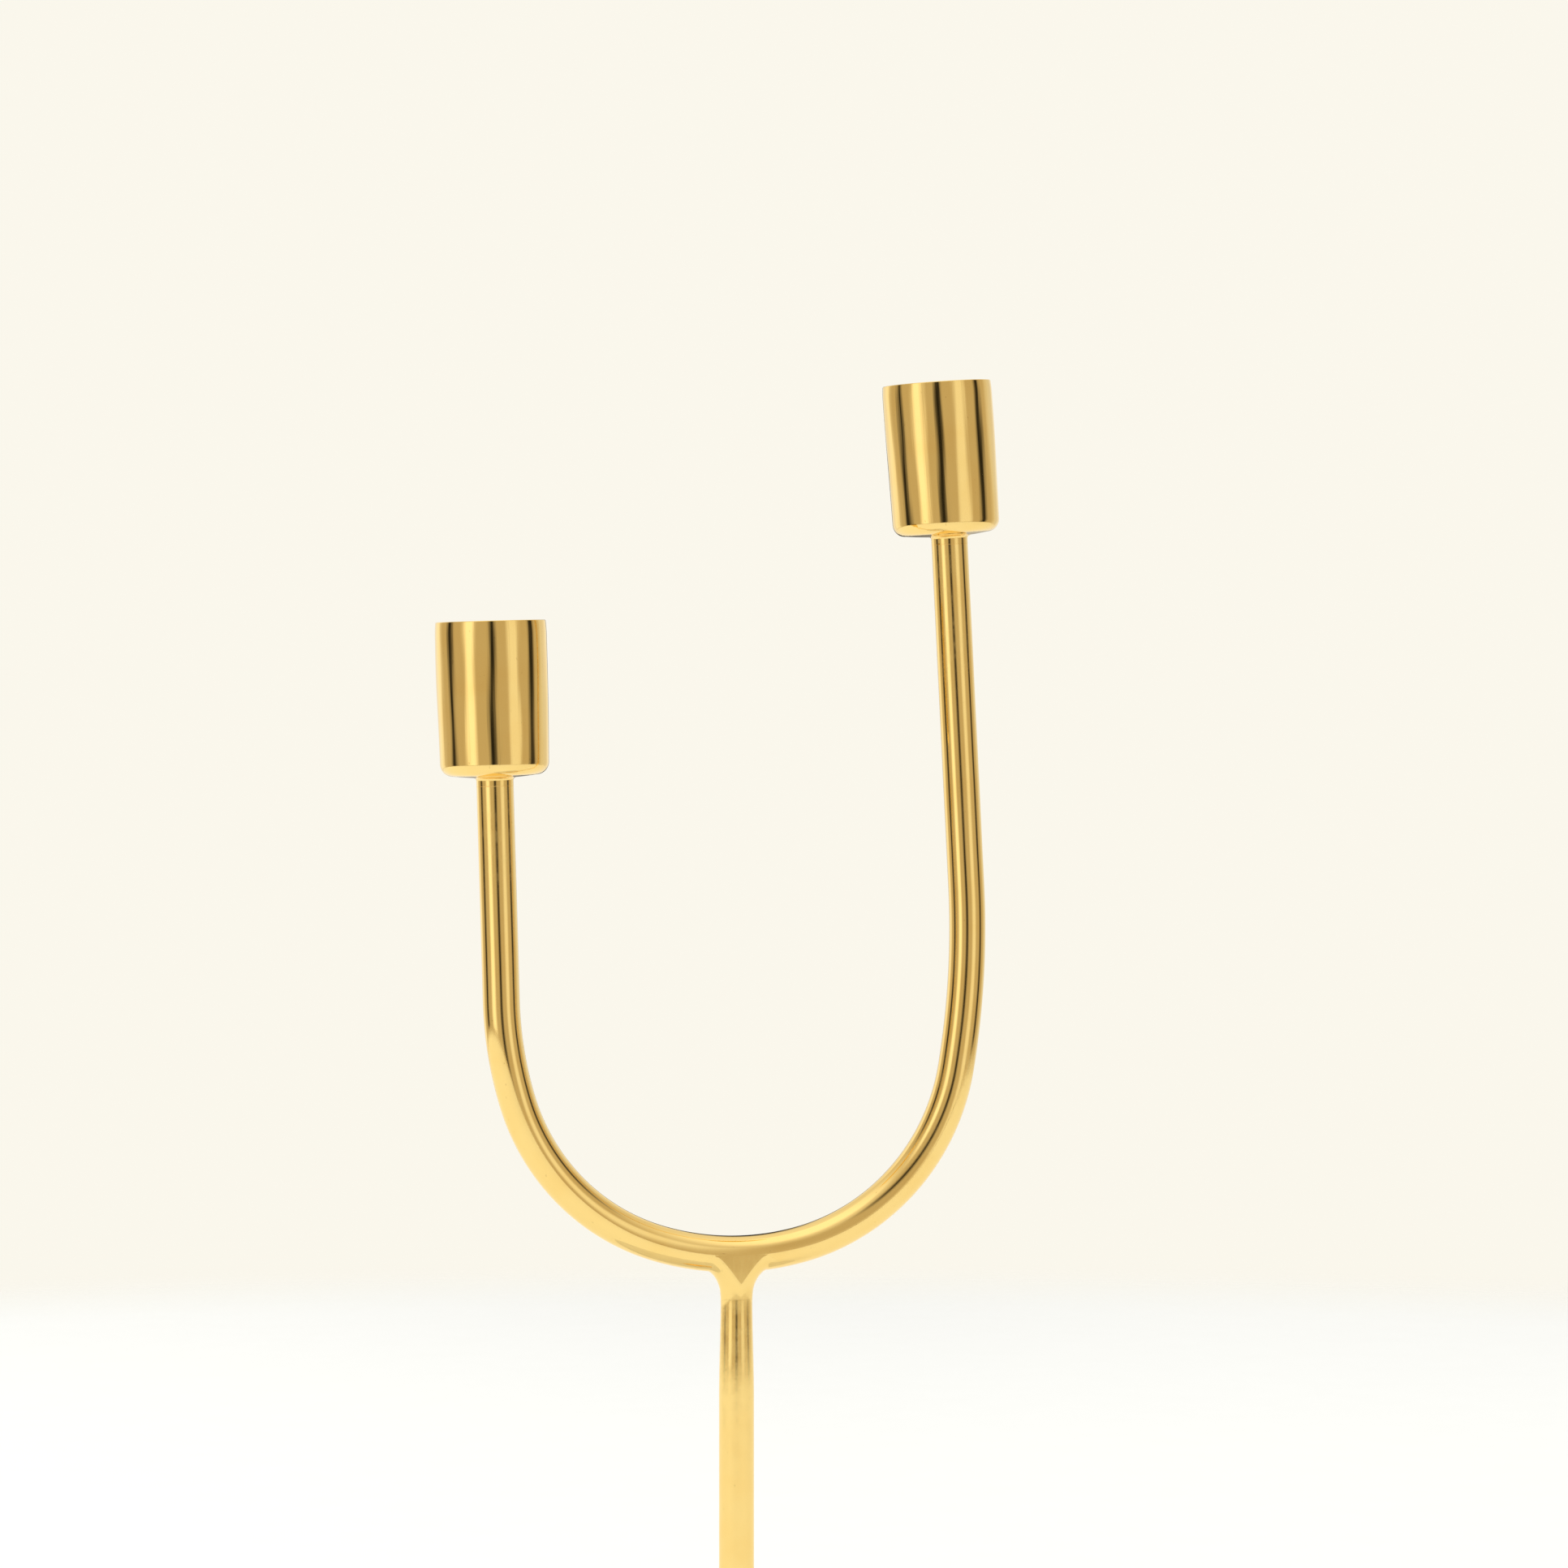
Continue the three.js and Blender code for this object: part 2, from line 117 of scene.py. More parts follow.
def along_rod(point):
    """Straight coordinates to the bent rod: x towards the inside of the U, z along the rod."""
    distance = min(max(point.z, 0), ROD_LENGTH)
    x, z, heading = walk(ROD_PIECES, ROD_START, distance)
    tangent = Vector((math.cos(heading), 0, math.sin(heading)))
    inward = Vector((-tangent.z, 0, tangent.x))
    beyond = point.z - distance
    return Vector((x, 0, z)) + inward * point.x - Vector((0, point.y, 0)) + tangent * beyond


def upright(point):
    return point


def seat_frame(seat, lean=None):
    """Places a piece made about +Z on the end of the rod, leaning as the rod or by lean."""
    x, z, heading = seat
    tilt = math.pi / 2 - heading if lean is None else -math.radians(lean)
    turn = Matrix.Rotation(tilt, 4, "Y")
    place = Matrix.Translation(Vector((x, 0, z))) @ turn
    return lambda point: place @ point


# ---------------------------------------------------------------- mesh making
def arc(x, z, radius, start, end, steps):
    """Points of an arc in a profile, in metres and degrees."""
    angles = [math.radians(start + (end - start) * i / steps) for i in range(steps + 1)]
    return [(x + radius * math.cos(a), z + radius * math.sin(a)) for a in angles]


def fine(profile, step):
    """The same profile with its long straights cut into short ones."""
    out = [profile[0]]
    for a, b in zip(profile, profile[1:]):
        distance = math.hypot(b[0] - a[0], b[1] - a[1])
        count = max(1, math.ceil(distance / step))
        out += [(a[0] + (b[0] - a[0]) * i / count, a[1] + (b[1] - a[1]) * i / count)
                for i in range(1, count + 1)]
    return out


def ripple(point, amplitude, size, stretch=1.0, seed=0.0):
    """Unevenness left by hand polishing, from -amplitude to amplitude."""
    at = Vector((point.x / size, point.y / size, point.z / (size * stretch) + seed))
    return amplitude * noise.noise(at)


def turned(name, profile, sides, place=upright, closed=False, reshape=None, shift=None):
    """A solid turned from (radius, height) points: pole to pole, or a closed ring's section.

    reshape(radius, angle, height) gives the true radius, and shift(radius, height) moves a
    ring sideways along x. The straight coordinates stay on the mesh as "straight".
    """
    verts, rings = [], []
    for radius, height in profile:
        offset = shift(radius, height) if shift else 0.0
        if radius < 1e-7:
            rings.append([len(verts)])
            verts.append(Vector((offset, 0, height)))
            continue
        rings.append(list(range(len(verts), len(verts) + sides)))
        for i in range(sides):
            angle = 2 * math.pi * i / sides
            r = reshape(radius, angle, height) if reshape else radius
            verts.append(Vector((offset + r * math.cos(angle), r * math.sin(angle), height)))
    faces = []
    pairs = list(zip(rings, rings[1:]))
    if closed:
        pairs.append((rings[-1], rings[0]))
    for a, b in pairs:
        for i in range(sides):
            j = (i + 1) % sides
            if len(a) == 1 and len(b) > 1:
                faces.append((a[0], b[j], b[i]))
            elif len(b) == 1 and len(a) > 1:
                faces.append((a[i], a[j], b[0]))
            elif len(a) > 1:
                faces.append((a[i], a[j], b[j], b[i]))
    return solid(name, verts, faces, place)


def solid(name, straight, faces, place=upright, sharp=32):
    """A smooth-shaded mesh object from straight coordinates, set in its place."""
    mesh = bpy.data.meshes.new(name)
    mesh.from_pydata([place(v) for v in straight], [], faces)
    mesh.validate()
    attribute = mesh.attributes.new("straight", "FLOAT_VECTOR", "POINT")
    attribute.data.foreach_set("vector", np.array([tuple(v) for v in straight], "f").ravel())
    mesh.shade_smooth()
    mesh.set_sharp_from_angle(angle=math.radians(sharp))
    mesh.update()
    piece = bpy.data.objects.new(name, mesh)
    bpy.context.scene.collection.objects.link(piece)
    return piece


def finished(piece, material, slot, *nodes):
    """Gives a piece its material and its place in the frame."""
    piece.data.materials.clear()
    piece.data.materials.append(material)
    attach(piece, "root")
    if nodes:
        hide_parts(*nodes)
    return piece


# ---------------------------------------------------------------- material helpers
class Nodes:
    """A short way to write a node tree."""

    def __init__(self, tree):
        self.tree = tree
        tree.nodes.clear()

    def add(self, kind, inputs=None, **settings):
        node = self.tree.nodes.new(kind)
        for key, value in settings.items():
            setattr(node, key, value)
        for key, value in (inputs or {}).items():
            if isinstance(value, bpy.types.NodeSocket):
                self.tree.links.new(value, node.inputs[key])
            else:
                node.inputs[key].default_value = value
        return node

    def math(self, operation, a, b=0.0, clamp=False):
        node = self.add("ShaderNodeMath", {0: a, 1: b}, operation=operation, use_clamp=clamp)
        return node.outputs[0]

    def ramp(self, value, low, high, to_low=0.0, to_high=1.0):
        """A smooth step of value from low to high."""
        inputs = {0: value, 1: low, 2: high, 3: to_low, 4: to_high}
        node = self.add("ShaderNodeMapRange", inputs, interpolation_type="SMOOTHSTEP")
        return node.outputs[0]

    def window(self, value, low, high, soft):
        rise = self.ramp(value, low - soft, low + soft)
        fall = self.ramp(value, high - soft, high + soft, 1.0, 0.0)
        return self.math("MULTIPLY", rise, fall)

    def mix(self, factor, a, b, blend="MIX"):
        inputs = {"Factor": factor, 6: a, 7: b}
        node = self.add("ShaderNodeMix", inputs, data_type="RGBA", blend_type=blend)
        return node.outputs[2]

    def noise(self, vector, scale, detail=2.0, rough=0.5, distortion=0.0):
        inputs = {"Vector": vector, "Scale": scale, "Detail": detail, "Roughness": rough,
                  "Distortion": distortion}
        return self.add("ShaderNodeTexNoise", inputs).outputs[0]

    def scaled(self, vector, x, y, z):
        node = self.add("ShaderNodeVectorMath", {0: vector, 1: (x, y, z)}, operation="MULTIPLY")
        return node.outputs[0]

    def bump(self, height, distance, strength=1.0, normal=None):
        inputs = {"Height": height, "Distance": distance, "Strength": strength}
        if normal is not None:
            inputs["Normal"] = normal
        return self.add("ShaderNodeBump", inputs).outputs[0]


def new_material(name):
    material = bpy.data.materials.new(name)
    material.use_nodes = True
    return material, Nodes(material.node_tree)


def surface(nodes, inputs):
    shader = nodes.add("ShaderNodeBsdfPrincipled", inputs)
    nodes.add("ShaderNodeOutputMaterial", {"Surface": shader.outputs[0]})


BRASS = (0.94, 0.68, 0.25, 1)
DEEP_BRASS = (0.91, 0.61, 0.19, 1)


def brass(name, rough=0.05, streaks=1.0, ground=(), dull=0.0):
    """Polished brass. Streaks run along the piece; ground lists (from, to, strength) stretches,
    in metres along it, where the last grinding ran round the piece and was polished less."""
    material, n = new_material(name)
    straight = n.add("ShaderNodeAttribute", attribute_name="straight").outputs["Vector"]
    height = n.add("ShaderNodeSeparateXYZ", {0: straight}).outputs[2]

    cloudy = n.noise(straight, 90, 3, 0.55)
    colour = n.mix(n.ramp(cloudy, 0.42, 0.75, 0.0, 0.45 + dull), BRASS, DEEP_BRASS)
    fleck = n.noise(n.scaled(straight, 1, 1, 0.45), 1500, 2, 0.6)
    flecks = n.ramp(fleck, 0.70, 0.78)
    colour = n.mix(n.math("MULTIPLY", flecks, 0.5), colour, (0.5, 0.33, 0.1, 1))

    smear = n.noise(n.scaled(straight, 1, 1, 0.16), 260, 4, 0.6)
    roughness = n.ramp(smear, 0.35, 0.8, rough, rough + 0.07 + dull * 0.3)

    fine_streak = n.noise(n.scaled(straight, 1, 1, 0.02), 5200, 3, 0.65)
    broad_streak = n.noise(n.scaled(straight, 1, 1, 0.035), 900, 2, 0.5)
    normal = n.bump(broad_streak, 0.000012 * streaks)
    normal = n.bump(fine_streak, 0.0000014 * streaks, normal=normal)

    if ground:
        mask = None
        for start, end, strength in ground:
            zone = n.math("MULTIPLY", n.window(height, start, end, 0.004), strength)
            mask = zone if mask is None else n.math("MAXIMUM", mask, zone)
        patches = n.ramp(n.noise(straight, 260, 3, 0.6), 0.38, 0.66)
        mask = n.math("MULTIPLY", mask, patches)
        lines = n.noise(n.scaled(straight, 0.06, 0.06, 1), 7000, 2, 0.7)
        height_of_lines = n.math("MULTIPLY", lines, mask)
        normal = n.bump(height_of_lines, 0.0000035, normal=normal)
        roughness = n.math("ADD", roughness, n.math("MULTIPLY", mask, 0.12))

    surface(n, {"Base Color": colour, "Metallic": 1.0, "Roughness": roughness, "Normal": normal})
    return material


def marble():
    """White marble with soft clouds and a few thin grey veins, honed and waxed."""
    material, n = new_material("white_marble")
    where = n.add("ShaderNodeTexCoord").outputs["Object"]
    drift = n.add("ShaderNodeTexNoise", {"Vector": where, "Scale": 22.0, "Detail": 5.0})
    bent = n.add("ShaderNodeVectorMath", {0: drift.outputs["Color"], 1: (0.05, 0.05, 0.05)},
                 operation="MULTIPLY").outputs[0]
    warped = n.add("ShaderNodeVectorMath", {0: where, 1: bent}, operation="ADD").outputs[0]

    def veins(scale, width, seed):
        moved = n.add("ShaderNodeVectorMath", {0: warped, 1: (seed, seed, 0)}, operation="ADD")
        field = n.noise(n.scaled(moved.outputs[0], 1, 0.45, 1), scale, 3, 0.5)
        away = n.math("ABSOLUTE", n.math("SUBTRACT", field, 0.5))
        return n.ramp(away, 0.0, width, 1.0, 0.0)

    cloud = n.noise(warped, 30, 6, 0.6)
    colour = n.mix(n.ramp(cloud, 0.4, 0.75), (0.76, 0.755, 0.735, 1), (0.60, 0.605, 0.60, 1))
    main_veins = n.math("MULTIPLY", veins(17, 0.010, 0.3), n.ramp(cloud, 0.35, 0.6))
    colour = n.mix(n.math("MULTIPLY", main_veins, 0.55), colour, (0.30, 0.31, 0.32, 1))
    colour = n.mix(n.math("MULTIPLY", veins(48, 0.02, 0.7), 0.22), colour, (0.5, 0.5, 0.49, 1))

    grain = n.noise(where, 2600, 2, 0.6)
    roughness = n.ramp(grain, 0.3, 0.7, 0.2, 0.3)
    hone = n.bump(grain, 0.000002)
    normal = n.bump(main_veins, 0.000006, normal=hone)
    surface(n, {"Base Color": colour, "Roughness": roughness, "Normal": normal,
                "Coat Weight": 0.35, "Coat Roughness": 0.08, "IOR": 1.49})
    return material


def felt():
    """Dense dark felt: a mat of short fibres."""
    material, n = new_material("felt")
    where = n.add("ShaderNodeTexCoord").outputs["Object"]
    mat = n.noise(where, 1400, 5, 0.75, 1.5)
    fibre = n.add("ShaderNodeTexVoronoi", {"Vector": where, "Scale": 2600.0}).outputs[0]
    tone = n.mix(n.ramp(mat, 0.3, 0.72), (0.022, 0.019, 0.017, 1), (0.085, 0.075, 0.066, 1))
    colour = n.mix(n.ramp(fibre, 0.0, 0.5, 0.5, 0.0), tone, (0.13, 0.12, 0.105, 1))
    normal = n.bump(mat, 0.0002, 0.9)
    surface(n, {"Base Color": colour, "Roughness": 0.95, "Normal": normal, "Sheen Weight": 0.4,
                "Sheen Roughness": 0.6, "Specular IOR Level": 0.15})
    return material


def zinc():
    """Bright zinc plate with turning marks and slight blue-yellow passivation."""
    material, n = new_material("zinc_steel")
    straight = n.add("ShaderNodeAttribute", attribute_name="straight").outputs["Vector"]
    radius = n.add("ShaderNodeVectorMath", {0: n.scaled(straight, 1, 1, 0)}, operation="LENGTH")
    rings = n.add("ShaderNodeTexNoise", {"W": radius.outputs["Value"], "Scale": 9000.0},
                  noise_dimensions="1D").outputs[0]
    tint = n.noise(straight, 420, 4, 0.6)
    colour = n.mix(n.ramp(tint, 0.35, 0.7), (0.60, 0.62, 0.66, 1), (0.68, 0.65, 0.56, 1))
    normal = n.bump(rings, 0.000004)
    roughness = n.ramp(tint, 0.3, 0.7, 0.24, 0.4)
    surface(n, {"Base Color": colour, "Metallic": 1.0, "Roughness": roughness, "Normal": normal})
    return material


# ---------------------------------------------------------------- rod, saddle and stem
def bent_rod():
    """The U: one round rod, its ends turned down and drilled for the cups' screws."""
    shoulder = 1.8 * MM
    spigot_radius, spigot_top = 3 * MM, 0.3 * MM
    hole_radius, hole_depth = 2.05 * MM, 9 * MM
    edge = 0.12 * MM
    start = [
        (0, hole_depth),
        (hole_radius, hole_depth),
        (hole_radius, spigot_top + edge),
        (hole_radius + edge, spigot_top),
        (spigot_radius - edge, spigot_top),
        (spigot_radius, spigot_top + edge),
        (spigot_radius, shoulder),
        (ARM_RADIUS - edge / 4, shoulder),
        (ARM_RADIUS, shoulder + edge / 4),
    ]
    end = [(radius, ROD_LENGTH - height) for radius, height in reversed(start)]
    profile = start[:-1] + fine([start[-1], end[0]], 0.7 * MM) + end[1:]

    def hand_bent(radius, angle, height):
        if radius < ARM_RADIUS:
            return radius
        point = Vector((radius * math.cos(angle), radius * math.sin(angle), height))
        rough = smooth_step(abs(height - LEFT_LENGTH), 7 * MM, 14 * MM)
        narrow = ripple(point, 0.014 * MM, 4 * MM, 5)
        broad = ripple(point, 0.02 * MM, 9 * MM, 2, 5)
        return radius + rough * (narrow + broad)

    piece = turned("bent_rod", profile, 120, along_rod, reshape=hand_bent)
    ground = [
        (0.002, 0.026, 1.0),
        (LEFT_LENGTH - 0.020, LEFT_LENGTH + 0.020, 0.35),
        (LEFT_LENGTH + 0.045, LEFT_LENGTH + 0.075, 0.8),
        (ROD_LENGTH - 0.034, ROD_LENGTH - 0.002, 1.0),
    ]
    return finished(piece, brass("rod_brass", 0.05, 1.0, ground), "polished_brass", "arm")


SADDLE_FILLET = 2.9 * MM
SADDLE_FLARE = ARM_RADIUS - 0.002 * MM - NECK_RADIUS
NECK_TAPER = 19 * MM
NECK_LENGTH = 6 * MM
ROD_UNDERSIDE = ARM_BOTTOM.z - ARM_RADIUS
FILLET_START = ROD_UNDERSIDE - SADDLE_FILLET
FLARE_START = FILLET_START - 1.6 * MM
FLARE_END = FILLET_START + 1.4 * MM
WEB_DEPTH = 6.6 * MM
WEB_HALF = 6.6 * MM
WEB_ROUNDING = 0.3 * MM


def smooth_step(value, start, end):
    t = min(max((value - start) / (end - start), 0), 1)
    return t * t * (3 - 2 * t)


def neck_radius(height):
    """The stem's radius at a height: full, then thinned by grinding towards the top."""
    thinned = smooth_step(height, FLARE_START - NECK_LENGTH - NECK_TAPER, FLARE_START)
    return STEM_RADIUS + (NECK_RADIUS - STEM_RADIUS) * thinned


def stem_flare(height, angle):
    """How far the stem swells into the saddle: at its sides only."""
    side = math.cos(angle) ** 2
    start = FLARE_START - 3.5 * MM * side
    end = FLARE_END + 3.5 * MM * side
    return SADDLE_FLARE * side * smooth_step(height, start, end)


def stem():
    """The upright: an M6 stud below, a plain round bar with a ground neck above."""
    stud_radius, thread_depth, pitch = 3 * MM, 0.3 * MM, 1 * MM
    bottom = low("stem").z
    shoulder = FERRULE_TOP + 0.02 * MM
    turns = int((shoulder - bottom) / pitch)
    thread = []
    for i in range(turns):
        z = bottom + 0.4 * MM + i * pitch
        thread += [(stud_radius - thread_depth, z), (stud_radius, z + 0.45 * pitch),
                   (stud_radius, z + 0.55 * pitch)]
    thread = [p for p in thread if p[1] < shoulder - 0.3 * MM]
    top = ARM_BOTTOM.z - 0.05 * MM
    start = shoulder + 0.25 * MM
    steps, flare_steps = 120, 110
    heights = [start + (FLARE_START - start) * i / steps for i in range(steps)]
    heights += [FLARE_START + (top - FLARE_START) * i / flare_steps for i in range(flare_steps + 1)]
    profile = [(0, bottom), (stud_radius - thread_depth, bottom)] + thread + [
        (stud_radius - thread_depth, shoulder),
        (STEM_RADIUS - 0.25 * MM, shoulder),
        *[(neck_radius(z), z) for z in heights],
        (0, top),
    ]

    def hand_ground(radius, angle, height):
        if height < start:
            return radius
        point = Vector((radius * math.cos(angle), radius * math.sin(angle), height))
        calm = 1 - smooth_step(height, FLARE_START - 9 * MM, FLARE_START - 3 * MM)
        waves = ripple(point, 0.014 * MM, 5 * MM, 5) + ripple(point, 0.015 * MM, 12 * MM, 1, 9)
        waves += ripple(point, 0.006 * MM, 1.4 * MM, 16, 4)
        return radius + stem_flare(height, angle) + calm * waves

    piece = turned("stem_bar", profile, 120, reshape=hand_ground)
    ground = [(FLARE_START - 0.045, FLARE_START - 0.001, 0.5)]
    return finished(piece, brass("stem_brass", 0.06, 1.2, ground), "polished_brass", "stem")


def saddle():
    """Braze metal that flows from the stem into the underside of the rod.

    Its skin is the smooth union of rod and stem, with a web of braze under the rod. The web
    was ground flush with the rod at front and back, so its face there is upright and narrows
    to a point on the stem. Each point is found along a ray that starts inside the metal, on
    the stem's axis.
    """
    bend_radius = BENDS["left"][0][0] * MM
    centre = Vector((ARM_BOTTOM.x, 0, ARM_BOTTOM.z + bend_radius))

    def to_union(point, fillet):
        below = math.hypot(point.x - centre.x, point.z - centre.z) - bend_radius
        aside = math.hypot(point.x, WEB_ROUNDING) - WEB_ROUNDING
        web = WEB_DEPTH * max(1 - aside / WEB_HALF, 0) ** 1.5
        below -= min(max(below, 0), web)
        to_rod = math.hypot(below, point.y) - ARM_RADIUS
        angle = math.atan2(point.y, point.x)
        to_stem = math.hypot(point.x, point.y) - neck_radius(point.z) - stem_flare(point.z, angle)
        overlap = max(fillet - abs(to_rod - to_stem), 0) / fillet
        return min(to_rod, to_stem) - overlap * overlap * fillet / 4

    def skin(start, ray, fillet, proud):
        inside, outside = 0.0, 16 * MM
        for _ in range(40):
            middle = (inside + outside) / 2
            if to_union(start + ray * middle, fillet) < proud:
                inside = middle
            else:
                outside = middle
        return start + ray * inside

    sides, steps, blend_steps = 180, 100, 8
    steepest = 74  # degrees below level
    proud = 0.006 * MM
    start = Vector((0, 0, ARM_BOTTOM.z + 0.5 * MM))
    verts, faces = [], []
    for j in range(steps + 1):
        lifted = proud * (2 * smooth_step(min(j, steps - j), 0, blend_steps) - 1)
        for i in range(sides):
            angle = 2 * math.pi * i / sides
            side = math.cos(angle) ** 2
            flattest = 1 + 50 * max(side - 0.7, 0)
            slope = math.radians(steepest + (flattest - steepest) * j / steps)
            ray = Vector((math.cos(angle) * math.cos(slope), math.sin(angle) * math.cos(slope),
                          -math.sin(slope)))
            fillet = SADDLE_FILLET * (0.08 + 0.85 * side)
            verts.append(skin(start, ray, fillet, lifted))
    for j in range(steps):
        for i in range(sides):
            k = (i + 1) % sides
            faces.append((j * sides + i, j * sides + k, (j + 1) * sides + k, (j + 1) * sides + i))
    bottom, top = len(verts), len(verts) + 1
    verts += [Vector((0, 0, verts[0].z + 0.5 * MM)), start + Vector((0, 0, 0.2 * MM))]
    last_ring = steps * sides
    for i in range(sides):
        k = (i + 1) % sides
        faces.append((bottom, k, i))
        faces.append((top, last_ring + i, last_ring + k))
    piece = solid("saddle_braze", verts, faces, sharp=60)
    return finished(piece, brass("braze_brass", 0.05, 0.6), "brazed_brass", "saddle")


# ---------------------------------------------------------------- cups
CUP_BORE = 11.3 * MM
CUP_FLOOR = 5.5 * MM
COUNTERBORE = 4.2 * MM
COUNTERBORE_FLOOR = 1.3 * MM
CUP_HOLE = 2.5 * MM
CUPS = {
    "left": {"seat": LEFT_SEAT, "lean": 1.65, "offset": 0.0, "slot": 25, "seed": 3.0},
    "right": {"seat": RIGHT_SEAT, "lean": 4.05, "offset": -0.6 * MM, "slot": 70, "seed": 11.0},
}


def cup(side):
    """A plain cup: turned, dished slightly underneath, with a soft rim and a drilled floor."""
    facts = CUPS[side]
    corner, rim = 2.9 * MM, 0.2 * MM
    foot_radius = CUP_RADIUS - 0.3 * MM
    flat = foot_radius - corner
    dome = 0.65 * MM
    top = CUP_HEIGHT
    roll, roll_height = 0.16 * MM, 3.2 * MM
    mouth, floor_corner = 0.35 * MM, 1 * MM

    rings = [CUP_HOLE + (flat - CUP_HOLE) * i / 12 for i in range(13)]
    underside = [(radius, dome * (radius / flat) ** 2) for radius in rings]
    wall_steps = 90
    wall_bottom, wall_top = dome + corner, top - rim
    wall = []
    for i in range(1, wall_steps + 1):
        z = wall_bottom + (wall_top - wall_bottom) * i / wall_steps
        share = (z - wall_bottom) / (wall_top - wall_bottom)
        rolled = roll * max(0, (z - (wall_top - roll_height)) / roll_height) ** 2
        barrel = 1 - (1 - share) ** 2
        wall.append((foot_radius + (CUP_RADIUS - foot_radius) * barrel - rolled, z))
    lip = wall[-1][0] - rim
    profile = (
        underside
        + arc(flat, wall_bottom, corner, -82, 0, 12)
        + wall
        + arc(lip, wall_top, rim, 8, 90, 6)
        + arc(CUP_BORE + mouth, top - mouth, mouth, 90, 180, 5)
        + fine([(CUP_BORE, top - 0.5 * MM), (CUP_BORE, CUP_FLOOR + floor_corner)], 1 * MM)
        + arc(CUP_BORE - floor_corner, CUP_FLOOR + floor_corner, floor_corner, 0, -90, 8)[1:]
        + fine([(CUP_BORE - 1.2 * MM, CUP_FLOOR), (COUNTERBORE + 0.2 * MM, CUP_FLOOR)], 1 * MM)
        + [
            (COUNTERBORE, CUP_FLOOR - 0.2 * MM),
            (COUNTERBORE, COUNTERBORE_FLOOR),
            (CUP_HOLE, COUNTERBORE_FLOOR),
        ]
    )
    hole_x = -facts["offset"]

    def shift(radius, height):
        inside = smooth_step(radius, CUP_BORE - 1.2 * MM, COUNTERBORE + 0.2 * MM)
        return hole_x * inside

    def hand_polished(radius, angle, height):
        if radius < flat:
            return radius
        point = Vector((radius * math.cos(angle), radius * math.sin(angle), height))
        seed = facts["seed"]
        wave = ripple(point, 0.1 * MM, 7 * MM, 3, seed)
        wave += ripple(point, 0.045 * MM, 2.6 * MM, 6, seed + 7)
        wave += ripple(point, 0.012 * MM, 1.1 * MM, 14, seed + 13)
        outside = 1 if radius > CUP_BORE + 0.5 * MM else 0.3
        return radius + wave * outside

    seat = seat_frame(facts["seat"], facts["lean"])
    off_axis = Vector((facts["offset"], 0, 0))
    piece = turned(f"{side}_candle_cup", profile, 300, lambda p: seat(p + off_axis), closed=True,
                   reshape=hand_polished, shift=shift)
    return finished(piece, brass(f"{side}_cup_brass", 0.035, 1.6), "polished_brass", f"{side}_cup")


def collar(side):
    """The ring of solder between the rod's end and the cup."""
    hole, flare = 3.05 * MM, 0.8 * MM
    bottom, top = -1.8 * MM, 0.3 * MM
    root = 0.2 * MM - flare
    profile = (
        [(hole, bottom), (ARM_RADIUS, bottom), (ARM_RADIUS + 0.01 * MM, bottom + 0.05 * MM)]
        + [(ARM_RADIUS + 0.012 * MM, root)]
        + arc(ARM_RADIUS + flare, root, flare, 180, 92, 10)[1:]
        + [(ARM_RADIUS + flare, top), (hole, top)]
    )

    def uneven(radius, angle, z):
        if radius <= ARM_RADIUS:
            return radius
        point = Vector((math.cos(angle), math.sin(angle), z / MM))
        return radius + ripple(point, 0.12 * MM, 1.1, 1, 2) * (radius - ARM_RADIUS) / flare

    piece = turned(f"{side}_solder_collar", profile, 96, seat_frame(CUPS[side]["seat"]), closed=True,
                   reshape=uneven)
    material = brass(f"{side}_collar_brass", 0.08, 0.5, dull=0.1)
    return finished(piece, material, "brazed_brass", f"{side}_collar")


# ---------------------------------------------------------------- fastenings
def cut_slot(piece, width, depth, top, length):
    """Cuts a straight slot across the top of a screw head made about +Z."""
    x, y = length / 2, width / 2
    corners = [Vector((i * x, j * y, top + k * depth))
               for k in (-1, 1) for j in (-1, 1) for i in (-1, 1)]
    sides = [(0, 2, 3, 1), (4, 5, 7, 6), (0, 1, 5, 4), (2, 6, 7, 3), (0, 4, 6, 2), (1, 3, 7, 5)]
    cutter = solid("cutter", corners, sides)
    modifier = piece.modifiers.new("slot", "BOOLEAN")
    modifier.operation = "DIFFERENCE"
    modifier.solver = "EXACT"
    modifier.object = cutter
    bpy.context.view_layer.update()
    evaluated = piece.evaluated_get(bpy.context.evaluated_depsgraph_get())
    mesh = bpy.data.meshes.new_from_object(evaluated)
    straight = [v.co.copy() for v in mesh.vertices]
    faces = [tuple(p.vertices) for p in mesh.polygons]
    for used in (piece, cutter):
        bpy.data.objects.remove(used)
    return straight, faces


